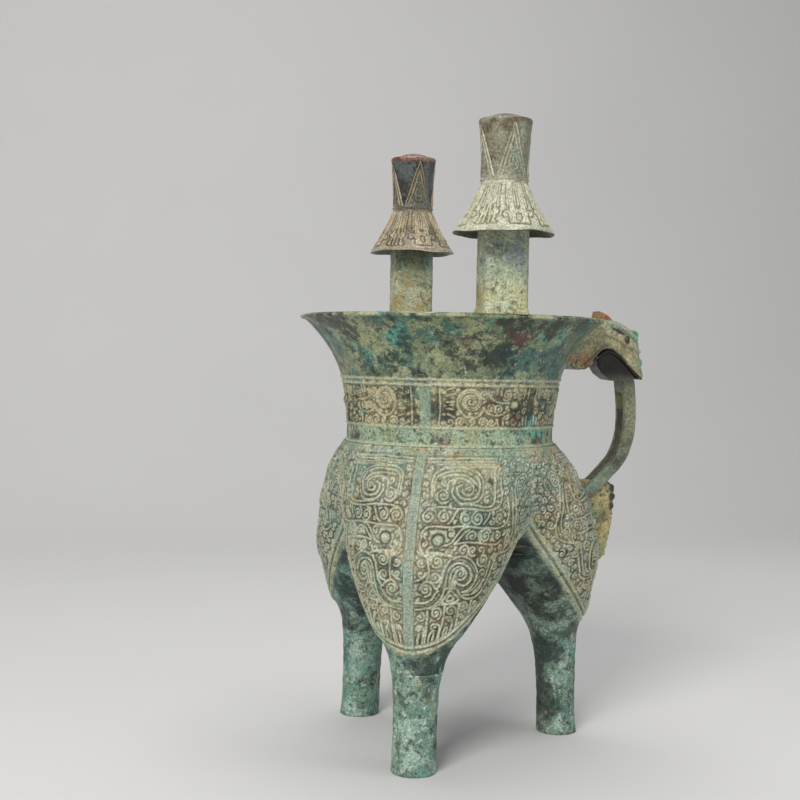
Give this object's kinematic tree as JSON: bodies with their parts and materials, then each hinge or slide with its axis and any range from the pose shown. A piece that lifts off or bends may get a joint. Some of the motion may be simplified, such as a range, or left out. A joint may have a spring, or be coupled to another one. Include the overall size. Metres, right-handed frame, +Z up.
{
  "type": "ritual wine vessel",
  "caption": "Three-legged bronze wine-warming vessel with pouch-shaped hollow legs, a flared mouth, tall capped posts on the rim and a beast-head side handle.",
  "frame": {"origin": "on the vessel's upright axis, on the ground plane through the three soles", "axes": "+Z up, +X from the axis towards the handle; one leg stands under the handle on +X, the others 120 degrees to each side"},
  "size_m": [0.2346, 0.239, 0.4002],
  "materials": {
    "bronze_flare": "mottled green and brown patina, half gloss",
    "bronze_relief": "pale green and cream patina over cast relief",
    "bronze_foot": "turquoise-green patina, speckled",
    "bronze_post": "pale green and ochre patina",
    "bronze_cap_front": "olive and grey-green patina, half gloss",
    "bronze_cap_back": "black and pinkish patina, half gloss",
    "bronze_strap": "dark olive patina",
    "bronze_handle": "tan and ochre patina with black gloss at the lip",
    "casting_clay": "fired casting clay, matt"
  },
  "bodies": {
    "root": {"neck_and_mouth": "bronze_flare", "pouch_leg_handle": "bronze_relief", "pouch_leg_front": "bronze_relief", "pouch_leg_back": "bronze_relief", "foot_handle": "bronze_foot", "foot_front": "bronze_foot", "foot_back": "bronze_foot", "foot_core_handle": "casting_clay", "foot_core_front": "casting_clay", "foot_core_back": "casting_clay", "post_front": "bronze_post", "post_back": "bronze_post", "post_cap_front": "bronze_cap_front", "post_cap_back": "bronze_cap_back", "handle_strap": "bronze_strap", "handle_core": "casting_clay", "handle_head": "bronze_handle", "handle_spur": "bronze_handle"}
  },
  "joints": []
}
